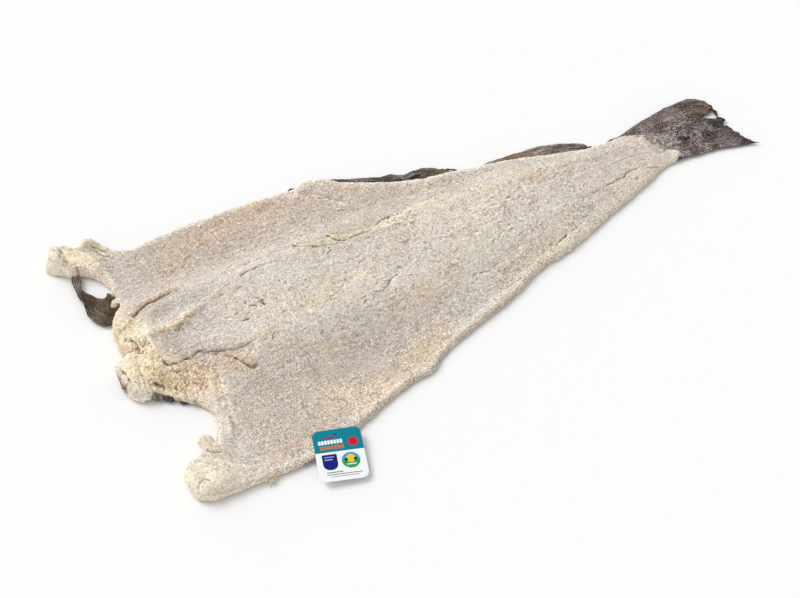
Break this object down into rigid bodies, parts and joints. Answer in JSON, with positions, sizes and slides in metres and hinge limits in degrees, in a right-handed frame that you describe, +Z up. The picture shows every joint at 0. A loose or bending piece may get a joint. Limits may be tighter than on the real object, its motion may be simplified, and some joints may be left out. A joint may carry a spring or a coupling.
{
  "type": "salted dried cod",
  "caption": "Whole salted dried cod without its head, split and opened flat skin side down, stiff as a board, with its fins and a small card label.",
  "frame": {"origin": "centre of the footprint, on the ground", "axes": "+X from the cut neck to the tail fin, +Y to the flank that carries the belly fins, +Z up, away from the skin side"},
  "size_m": [0.794, 0.4238, 0.0315],
  "materials": {
    "flesh": "matte",
    "skin": "satin",
    "fin": "matte",
    "card": "satin"
  },
  "bodies": {
    "root": {"cod": "flesh", "label": "card"}
  },
  "joints": []
}
